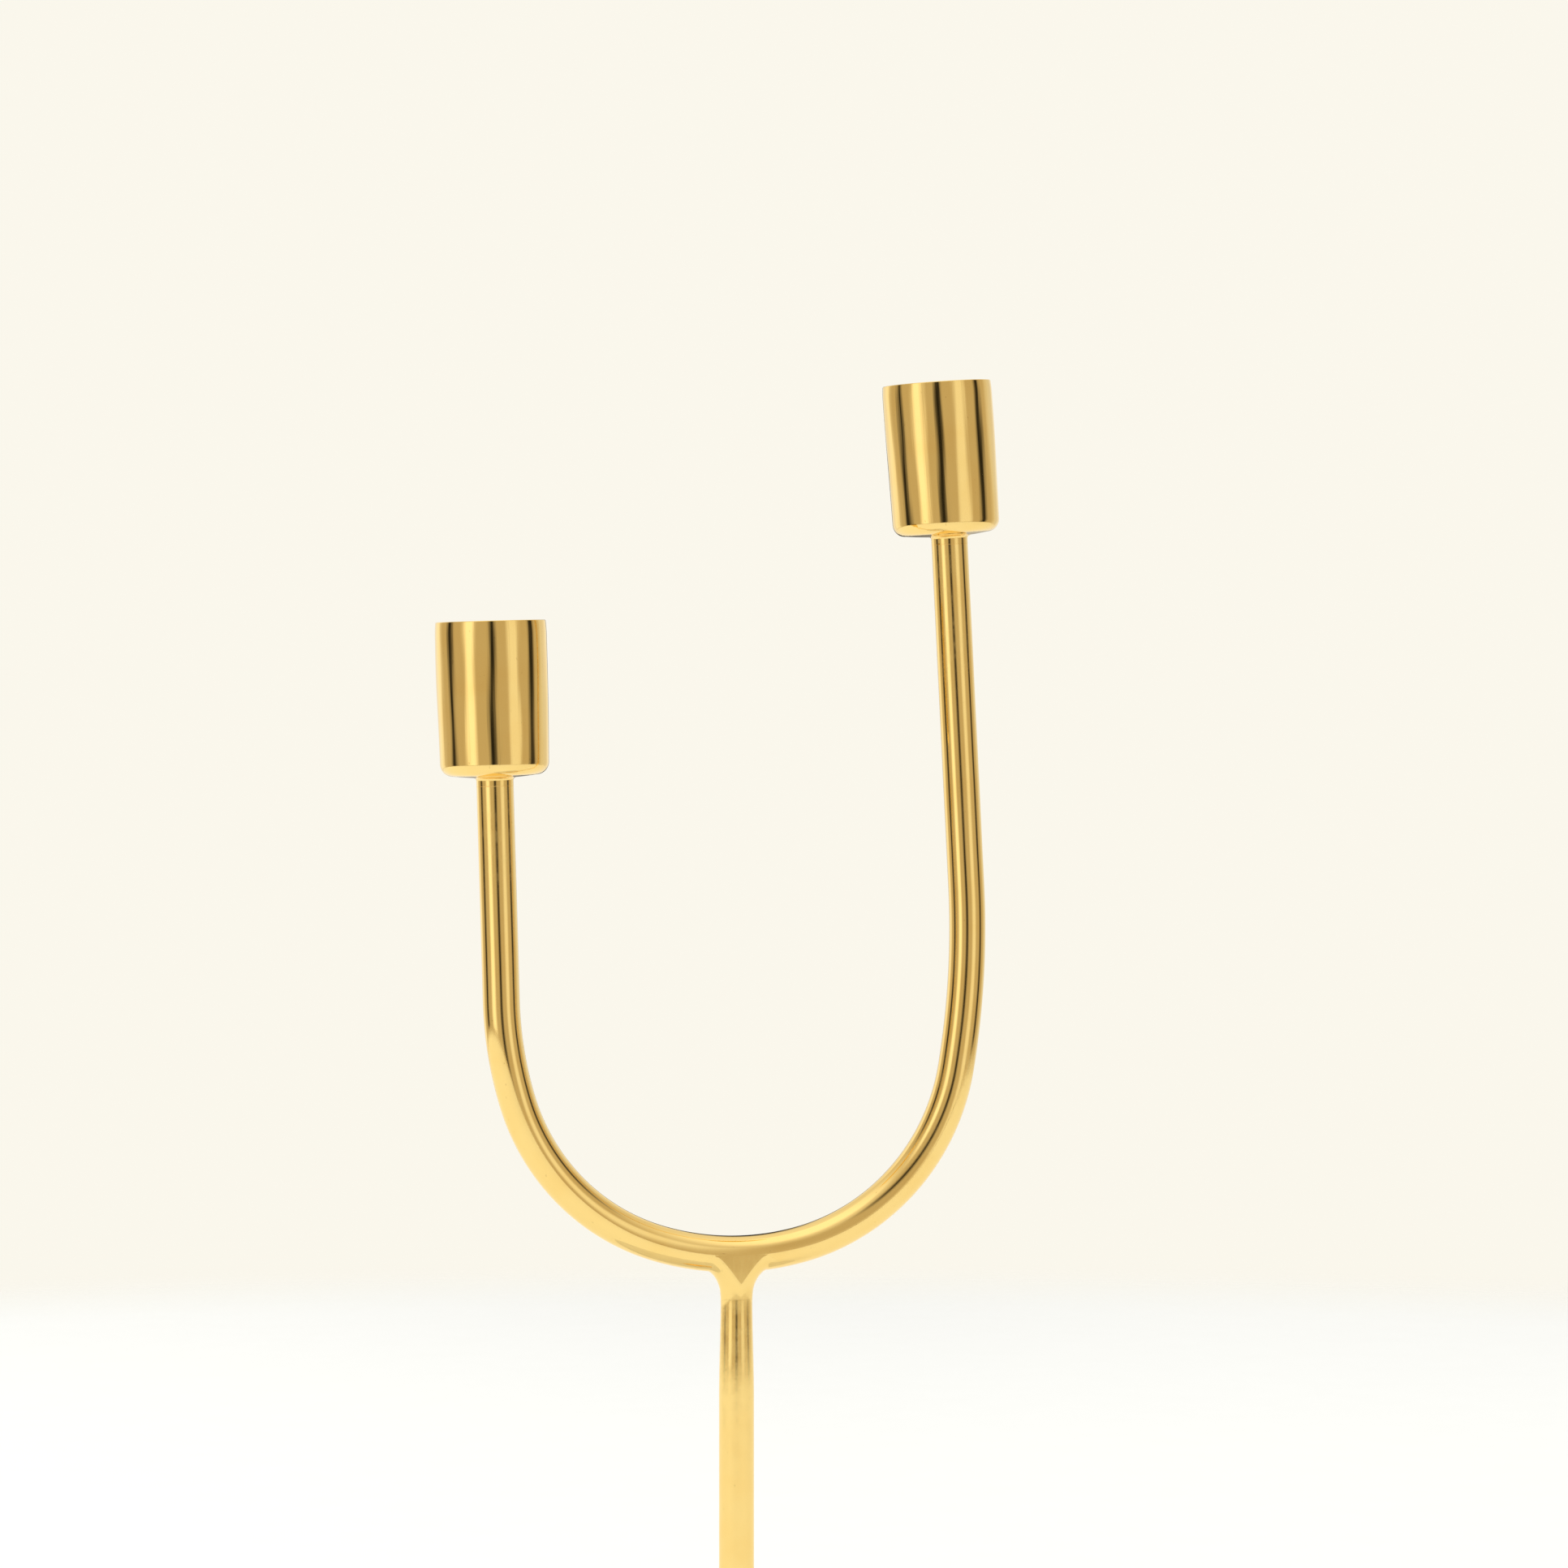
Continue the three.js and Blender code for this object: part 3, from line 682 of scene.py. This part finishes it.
def cup_screw(side):
    """Slotted cheese-head screw, down through the cup's floor into the rod."""
    radius, length = 2 * MM, 10 * MM
    head_radius, head_height, edge = 3.5 * MM, 2.6 * MM, 0.35 * MM
    bearing = COUNTERBORE_FLOOR + 2 * GAP + 0.9 * MM
    pitch = 0.7 * MM
    core = radius - 0.22 * MM
    thread = []
    z = -length + 0.5 * MM
    while z < -1 * MM:
        thread += [(core, z), (radius, z + 0.45 * pitch), (radius, z + 0.55 * pitch)]
        z += pitch
    profile = (
        [(0, -length), (core - 0.3 * MM, -length)]
        + thread
        + [(core, -0.3 * MM), (core, 0), (head_radius - 0.1 * MM, 0), (head_radius, 0.1 * MM)]
        + [(head_radius, head_height - edge - 0.02 * MM)]
        + arc(head_radius - edge, head_height - edge, edge, 0, 90, 6)
        + [(0, head_height)]
    )
    blank = turned("screw_blank", profile, 64)
    straight, faces = cut_slot(blank, 1.2 * MM, 1.1 * MM, head_height, 4 * head_radius)
    seat = seat_frame(CUPS[side]["seat"], CUPS[side]["lean"])
    spin = Matrix.Rotation(math.radians(CUPS[side]["slot"]), 4, "Z")
    lift = Vector((0, 0, bearing))
    piece = solid(f"{side}_slotted_screw", straight, faces, lambda p: seat(spin @ p + lift))
    material = brass(f"{side}_screw_brass", 0.16, 1.0, dull=0.4)
    return finished(piece, material, "plain_brass", f"{side}_cup_screw")


def split_washer(name, inner, outer, thickness, slit, rise, place):
    """A spring washer: a ring cut through, its two ends sprung slightly apart."""
    steps, edge = 96, 0.08 * MM
    opening = slit / outer
    section = [
        (inner + edge, 0), (outer - edge, 0), (outer, edge), (outer, thickness - edge),
        (outer - edge, thickness), (inner + edge, thickness), (inner, thickness - edge), (inner, edge),
    ]
    verts, faces = [], []
    for i in range(steps + 1):
        share = i / steps
        angle = opening / 2 + (2 * math.pi - opening) * share
        lift = rise * (share - 0.5)
        verts += [Vector((r * math.cos(angle), r * math.sin(angle), z + lift)) for r, z in section]
    count = len(section)
    for i in range(steps):
        for j in range(count):
            k = (j + 1) % count
            a, b = i * count, (i + 1) * count
            faces.append((a + j, a + k, b + k, b + j))
    faces.append(tuple(reversed(range(count))))
    faces.append(tuple(steps * count + j for j in range(count)))
    return solid(name, verts, faces, place, sharp=40)


def cup_spring_washer(side, material):
    seat = seat_frame(CUPS[side]["seat"], CUPS[side]["lean"])
    lift = Vector((0, 0, COUNTERBORE_FLOOR + GAP))
    piece = split_washer(f"{side}_split_washer", 2.3 * MM, 3.7 * MM, 0.9 * MM, 0.6 * MM, 0.25 * MM,
                         lambda p: seat(p + lift))
    return finished(piece, material, "zinc_steel", f"{side}_cup_spring_washer")


def base_fastenings(material):
    """The washer, spring washer and nut under the marble."""
    hole = 3.3 * MM

    def at_height(height):
        return lambda p: p + Vector((0, 0, height))

    bottom, top = low("base_washer").z, high("base_washer").z
    outer, thickness, edge = high("base_washer").y, top - bottom, 0.15 * MM
    profile = [
        (hole, 0), *fine([(hole + edge, 0), (outer - edge, 0)], 1 * MM), (outer, edge),
        (outer, thickness - edge), *fine([(outer - edge, thickness), (hole + edge, thickness)], 1 * MM),
        (hole, thickness - edge),
    ]
    washer = turned("stud_washer", profile, 96, at_height(bottom), closed=True)
    finished(washer, material, "zinc_steel", "base_washer")

    bottom, top = low("base_spring_washer").z, high("base_spring_washer").z
    spring = split_washer("stud_split_washer", hole, high("base_spring_washer").y, top - bottom,
                          0.9 * MM, 0.4 * MM, at_height(bottom))
    finished(spring, material, "zinc_steel", "base_spring_washer")

    bottom, top = low("base_nut").z, high("base_nut").z
    flat, thickness = 5 * MM, top - bottom
    corner = flat / math.cos(math.pi / 6)

    def hexagon(radius, angle, height):
        if radius < 4 * MM:
            return radius
        to_flat = (angle + math.pi / 6) % (math.pi / 3) - math.pi / 6
        end = min(height, thickness - height)
        return min(radius, flat / math.cos(to_flat), corner - 0.45 * MM + end * 1.1)

    wide = 2 * corner
    body = [(wide, thickness * i / 24) for i in range(25)]
    pitch, count = 1 * MM, 4
    thread = []
    for i in range(count):
        z = thickness - 0.2 * MM - i * pitch
        thread += [(hole, z), (hole - 0.28 * MM, z - 0.5 * pitch)]
    profile = [(hole + 0.3 * MM, 0), *body, (hole + 0.3 * MM, thickness), *thread]
    nut = turned("stud_nut", profile, 144, at_height(bottom), closed=True, reshape=hexagon)
    finished(nut, material, "zinc_steel", "base_nut")


# ---------------------------------------------------------------- base
def marble_base():
    """The round marble foot: honed, its top edge softly rounded, recessed for the nut."""
    bottom, round_edge, chamfer = FELT_TOP, 2 * MM, 0.8 * MM
    recess_radius, recess_top = 9.6 * MM, FELT_TOP + 8.5 * MM
    hole = 3.3 * MM
    rim = BASE_RADIUS - round_edge
    profile = (
        fine([(recess_radius + 0.3 * MM, bottom), (BASE_RADIUS - chamfer, bottom)], 2 * MM)
        + fine([(BASE_RADIUS, bottom + chamfer), (BASE_RADIUS, BASE_TOP - round_edge)], 1 * MM)
        + arc(rim, BASE_TOP - round_edge, round_edge, 0, 90, 14)[1:]
        + fine([(rim - 0.3 * MM, BASE_TOP), (hole + 0.3 * MM, BASE_TOP)], 2 * MM)
        + [(hole, BASE_TOP - 0.3 * MM), (hole, recess_top), (recess_radius, recess_top)]
        + [(recess_radius, bottom + 0.3 * MM)]
    )

    def honed(radius, angle, height):
        if radius < rim - 1 * MM:
            return radius
        point = Vector((radius * math.cos(angle), radius * math.sin(angle), height))
        return radius + ripple(point, 0.05 * MM, 6 * MM)

    piece = turned("marble_foot", profile, 240, closed=True, reshape=honed)
    return finished(piece, marble(), "white_marble", "marble_base")


def ferrule():
    """The small brass ring where the stem meets the marble."""
    hole, outer, top_radius, edge = 3.3 * MM, high("stem_ferrule").y, 5.2 * MM, 0.8 * MM
    bottom = BASE_TOP + 0.02 * MM
    hollow = FERRULE_TOP - bottom - edge
    profile = (
        [(hole, bottom), (outer - 0.15 * MM, bottom), (outer, bottom + 0.15 * MM)]
        + [(outer, bottom + edge - 0.15 * MM)]
        + arc(outer - 0.15 * MM, bottom + edge - 0.15 * MM, 0.15 * MM, 0, 80, 4)
        + arc(outer, FERRULE_TOP, hollow, 266, 190, 14)[1:]
        + [(top_radius, FERRULE_TOP - 0.12 * MM), (top_radius - 0.12 * MM, FERRULE_TOP)]
        + [(STEM_RADIUS, FERRULE_TOP), (hole, FERRULE_TOP)]
    )
    piece = turned("stem_ring", profile, 128, closed=True)
    return finished(piece, brass("ferrule_brass", 0.07, 0.03), "polished_brass", "stem_ferrule")


def felt_pad():
    """The felt disc glued under the marble, its cut edge slightly furry."""
    radius, top = high("felt_pad").y, FELT_TOP
    edge = 0.35 * MM
    profile = (
        [(0, 0)]
        + fine([(2 * MM, 0), (radius - edge, 0)], 1.5 * MM)
        + arc(radius - edge, edge, edge, -70, 0, 4)
        + arc(radius - edge, top - edge, edge, 0, 90, 4)
        + fine([(radius - 1 * MM, top), (2 * MM, top)], 3 * MM)
        + [(0, top)]
    )

    def furry(r, angle, height):
        if r < radius - 2 * edge:
            return r
        point = Vector((r * math.cos(angle), r * math.sin(angle), height))
        return r - abs(ripple(point, 0.5 * MM, 0.5 * MM))

    piece = turned("felt_disc", profile, 360, reshape=furry)
    return finished(piece, felt(), "felt", "felt_pad")


# ---------------------------------------------------------------- camera
CAMERA_DISTANCE = 1.2
CAMERA_AZIMUTH = 15.0  # degrees round to the left of the front
CAMERA_HEIGHT = 0.2293
CAMERA_AIM = Vector((0.0105, -0.003, 0.2133))


def camera():
    data = bpy.data.cameras.new("camera")
    data.lens = 120
    data.sensor_width = 36
    data.clip_start = 0.05
    data.clip_end = 20
    eye = bpy.data.objects.new("camera", data)
    angle = math.radians(CAMERA_AZIMUTH)
    across, back = CAMERA_DISTANCE * math.sin(angle), CAMERA_DISTANCE * math.cos(angle)
    eye.location = (-across, -back, CAMERA_HEIGHT)
    eye.rotation_euler = (CAMERA_AIM - eye.location).to_track_quat("-Z", "Y").to_euler()
    bpy.context.scene.collection.objects.link(eye)
    bpy.context.scene.camera = eye


# ---------------------------------------------------------------- studio
# A plain set for polished metal: equal softboxes and black flags round the object and a softbox
# above it, seen only in the metal. Azimuths are in degrees, from the camera's side of the object
# towards the camera's right.
WARM_WHITE = (1.0, 0.98, 0.93, 1)
ROOM = (0.60, 0.52, 0.40, 1)
BLACK = (0.02, 0.018, 0.015, 1)
BACKDROP = (0.96, 0.93, 0.84, 1)


def level_axes():
    """Level unit vectors from the object: towards the camera, and to the camera's right."""
    angle = math.radians(CAMERA_AZIMUTH)
    toward = Vector((-math.sin(angle), -math.cos(angle), 0))
    return toward, Vector((math.cos(angle), -math.sin(angle), 0))


def show_only_in(piece, *kinds):
    for kind in ("camera", "diffuse", "glossy", "shadow", "transmission", "volume_scatter"):
        setattr(piece, f"visible_{kind}", kind in kinds)


def panel(name, place, tint, brightness, feather):
    """A plain glowing panel, soft at its sides and its far edge, seen only in the metal.

    place takes shares of its width and height and gives a point in the room.
    """
    columns, rows = 24, 12
    grid = [Vector((i / columns, j / rows, 0)) for j in range(rows + 1) for i in range(columns + 1)]
    wide = columns + 1
    faces = [(j * wide + i, j * wide + i + 1, (j + 1) * wide + i + 1, (j + 1) * wide + i)
             for j in range(rows) for i in range(columns)]
    piece = solid(name, grid, faces, place)
    material, n = new_material(name)
    share = n.add("ShaderNodeAttribute", attribute_name="straight").outputs["Vector"]
    parts = n.add("ShaderNodeSeparateXYZ", {0: share})
    inside = n.math("MULTIPLY", n.window(parts.outputs[0], feather, 1 - feather, feather),
                    n.ramp(parts.outputs[1], 1 - 2 * feather, 1.0, 1.0, 0.0))
    glow = n.add("ShaderNodeEmission", {0: tint, 1: brightness})
    clear = n.add("ShaderNodeBsdfTransparent")
    mix = n.add("ShaderNodeMixShader", {0: inside, 1: clear.outputs[0], 2: glow.outputs[0]})
    n.add("ShaderNodeOutputMaterial", {0: mix.outputs[0]})
    piece.data.materials.append(material)
    show_only_in(piece, "glossy")


def standing_panel(name, azimuths, top, distance, tint, brightness, feather):
    """A curved panel that stands on the floor; azimuth 0 is the camera's side."""
    toward, right = level_axes()

    def place(share):
        azimuth = math.radians(azimuths[0] + (azimuths[1] - azimuths[0]) * share.x)
        level = toward * math.cos(azimuth) + right * math.sin(azimuth)
        return distance * level + Vector((0, 0, top * share.y))

    panel(name, place, tint, brightness, feather)


def ring_of_panels():
    """Equal softboxes round the object with a narrow black flag between each two.

    The spacing is even, so every side of the object is lit alike. The key side is brighter.
    """
    count, box_half, flag_half = 4, 18, 14
    box_feather, flag_feather = 0.2, 0.25
    top, distance = 1.2, 1.0
    spacing = 360 / count
    key_azimuth = -60
    for i in range(count):
        middle = (i + 0.5) * spacing
        brightness = 1.05 + 0.25 * math.cos(math.radians(middle - key_azimuth))
        box = (middle - box_half, middle + box_half)
        standing_panel(f"softbox_{i + 1}", box, top, distance, WARM_WHITE, brightness, box_feather)
        gap = middle + spacing / 2
        flag = (gap - flag_half, gap + flag_half)
        standing_panel(f"black_flag_{i + 1}", flag, top, distance, BLACK, 1.0, flag_feather)


def overhead_softbox():
    """A flat softbox above and in front of the object."""
    toward, right = level_axes()
    width, near, far, height = 1.4, -0.2, 0.8, 1.1

    def place(share):
        return (right * width * (share.x - 0.5) + toward * (near + (far - near) * share.y)
                + Vector((0, 0, height)))

    panel("overhead_softbox", place, WARM_WHITE, 1.3, 0.2)


def studio_world():
    """A plain pale backdrop, and a plain warm room with a white ceiling for the metal."""
    world = bpy.data.worlds.new("studio")
    bpy.context.scene.world = world
    world.use_nodes = True
    n = Nodes(world.node_tree)
    direction = n.add("ShaderNodeTexCoord").outputs["Generated"]
    up = n.add("ShaderNodeSeparateXYZ", {0: direction}).outputs[2]
    toward, _ = level_axes()
    ahead = n.add("ShaderNodeVectorMath", {0: direction, 1: toward}, operation="DOT_PRODUCT")
    behind = n.ramp(ahead.outputs["Value"], -0.9, -0.3, 1.0, 0.0)
    walls = n.mix(behind, ROOM, BACKDROP)
    walls = n.mix(n.ramp(up, 0.5, 0.95), walls, WARM_WHITE)
    in_metal = n.add("ShaderNodeBackground", {0: walls, 1: 1.0})
    seen_directly = n.add("ShaderNodeBackground", {0: BACKDROP, 1: 1.0})
    soft_light = n.add("ShaderNodeBackground", {0: (1, 1, 0.98, 1), 1: 0.62})
    path = n.add("ShaderNodeLightPath")
    lit = n.add("ShaderNodeMixShader", {0: path.outputs["Is Glossy Ray"], 1: soft_light.outputs[0],
                                        2: in_metal.outputs[0]})
    both = n.add("ShaderNodeMixShader", {0: path.outputs["Is Camera Ray"], 1: lit.outputs[0],
                                         2: seen_directly.outputs[0]})
    n.add("ShaderNodeOutputWorld", {0: both.outputs[0]})


def table():
    """A plain pale round table whose far edge fades softly into the wall."""
    sides, far = 96, 1.15
    rim = [Vector((far * math.cos(2 * math.pi * i / sides), far * math.sin(2 * math.pi * i / sides), 0))
           for i in range(sides)]
    piece = solid("table", rim, [tuple(range(sides))])
    material, n = new_material("pale_table")
    where = n.add("ShaderNodeTexCoord").outputs["Object"]
    away = n.add("ShaderNodeVectorMath", {0: where}, operation="LENGTH").outputs["Value"]
    here = n.ramp(away, 0.80, 0.98, 1.0, 0.0)
    grain = n.noise(where, 60, 4, 0.6)
    colour = n.mix(grain, (0.93, 0.93, 0.90, 1), (0.95, 0.95, 0.925, 1))
    paint = n.add("ShaderNodeBsdfPrincipled", {"Base Color": colour, "Roughness": 0.7,
                                               "Specular IOR Level": 0.2})
    clear = n.add("ShaderNodeBsdfTransparent")
    mix = n.add("ShaderNodeMixShader", {0: here, 1: clear.outputs[0], 2: paint.outputs[0]})
    n.add("ShaderNodeOutputMaterial", {0: mix.outputs[0]})
    piece.data.materials.append(material)


def lamp(name, at, aim, size, power):
    """A round soft lamp that lights the set but isn't mirrored in the metal."""
    data = bpy.data.lights.new(name, "AREA")
    data.shape = "DISK"
    data.size = size
    data.energy = power
    light = bpy.data.objects.new(name, data)
    light.location = at
    light.rotation_euler = (Vector(aim) - Vector(at)).to_track_quat("-Z", "Y").to_euler()
    light.visible_glossy = False
    light.visible_camera = False
    bpy.context.scene.collection.objects.link(light)


def studio():
    bpy.context.scene.view_settings.view_transform = "Standard"
    studio_world()
    table()
    overhead_softbox()
    ring_of_panels()
    lamp_aim = (0, 0, 0.1)
    lamp("soft_top", (0.2, -0.2, 2.6), lamp_aim, 2.0, 32)
    lamp("soft_left", (-1.2, 0.6, 1.1), lamp_aim, 1.0, 5)


# ---------------------------------------------------------------- the whole thing
camera()
studio()
felt_pad()
marble_base()
zinc_plate = zinc()
base_fastenings(zinc_plate)
ferrule()
stem()
saddle()
bent_rod()
for cup_side in CUPS:
    collar(cup_side)
    cup(cup_side)
    cup_spring_washer(cup_side, zinc_plate)
    cup_screw(cup_side)
